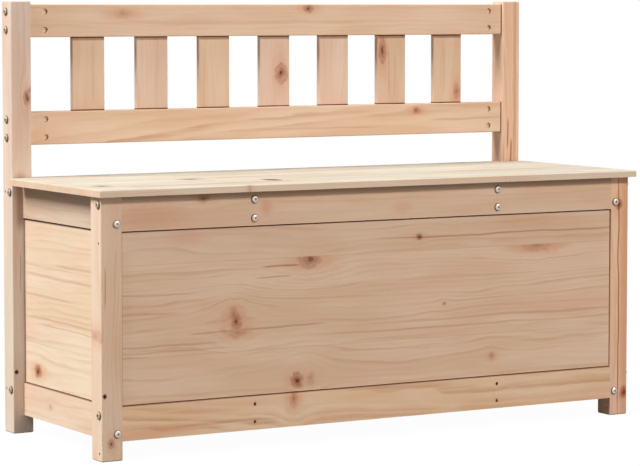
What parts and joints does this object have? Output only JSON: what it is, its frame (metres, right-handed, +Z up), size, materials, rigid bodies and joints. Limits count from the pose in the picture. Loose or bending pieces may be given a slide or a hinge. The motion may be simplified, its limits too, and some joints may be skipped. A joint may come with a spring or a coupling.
{
  "type": "storage bench",
  "caption": "Pine storage bench with square legs, a panelled box under the seat, a hinged seat lid and a slatted backrest, held together with bolts and barrel nuts.",
  "frame": {"origin": "on the floor, under the middle of the overall width and depth", "axes": "+X along the bench towards its right end as seen from the front, +Y to the back, +Z up"},
  "size_m": [1.09, 0.4096, 0.76],
  "materials": {
    "frame_pine": "unfinished sanded pine",
    "panel_pine": "unfinished sanded pine",
    "lid_pine": "unfinished sanded pine",
    "backrest_pine": "unfinished sanded pine",
    "bolt_steel": "zinc plated",
    "nut_steel": "zinc plated",
    "screw_steel": "zinc plated",
    "hinge_steel": "zinc plated"
  },
  "bodies": {
    "bench_frame": {"back_slat_1": "backrest_pine", "back_slat_2": "backrest_pine", "back_slat_3": "backrest_pine", "back_slat_4": "backrest_pine", "back_slat_5": "backrest_pine", "back_slat_6": "backrest_pine", "back_slat_7": "backrest_pine", "backrest_bolts": "bolt_steel", "backrest_bottom_rail": "backrest_pine", "backrest_nuts": "nut_steel", "backrest_top_rail": "backrest_pine", "floor_bearer_left": "frame_pine", "floor_bearer_right": "frame_pine", "floor_bearer_screws": "screw_steel", "floor_panel": "panel_pine", "floor_screws": "screw_steel", "front_leg_left": "frame_pine", "front_leg_right": "frame_pine", "front_lower_rail": "frame_pine", "front_panel": "panel_pine", "front_rail_bolts": "bolt_steel", "front_rail_nuts": "nut_steel", "front_upper_rail": "frame_pine", "hinge_base_leaf_1": "hinge_steel", "hinge_base_leaf_2": "hinge_steel", "hinge_base_leaf_3": "hinge_steel", "hinge_base_screws": "screw_steel", "hinge_pin_1": "hinge_steel", "hinge_pin_2": "hinge_steel", "hinge_pin_3": "hinge_steel", "hinge_strip": "frame_pine", "hinge_strip_screws": "screw_steel", "rear_lower_rail": "frame_pine", "rear_panel": "panel_pine", "rear_post_left": "frame_pine", "rear_post_right": "frame_pine", "rear_rail_bolts": "bolt_steel", "rear_rail_nuts": "nut_steel", "rear_upper_rail": "frame_pine", "seat_bearer_bolts": "bolt_steel", "seat_bearer_left": "frame_pine", "seat_bearer_nuts": "nut_steel", "seat_bearer_right": "frame_pine", "side_lower_rail_left": "frame_pine", "side_lower_rail_right": "frame_pine", "side_panel_left": "panel_pine", "side_panel_right": "panel_pine", "side_rail_bolts": "bolt_steel", "side_rail_nuts": "nut_steel", "side_upper_rail_left": "frame_pine", "side_upper_rail_right": "frame_pine"},
    "lid": {"lid_panel": "lid_pine", "hinge_lid_leaf_1": "hinge_steel", "hinge_lid_leaf_2": "hinge_steel", "hinge_lid_leaf_3": "hinge_steel", "hinge_lid_screws": "screw_steel"}
  },
  "joints": [
    {"name": "lid_hinge", "type": "hinge", "parent": "bench_frame", "child": "lid", "pos_m": [0, 0.1602, 0.449], "axis": [-1, 0, 0], "range_deg": [0, 90]}
  ]
}
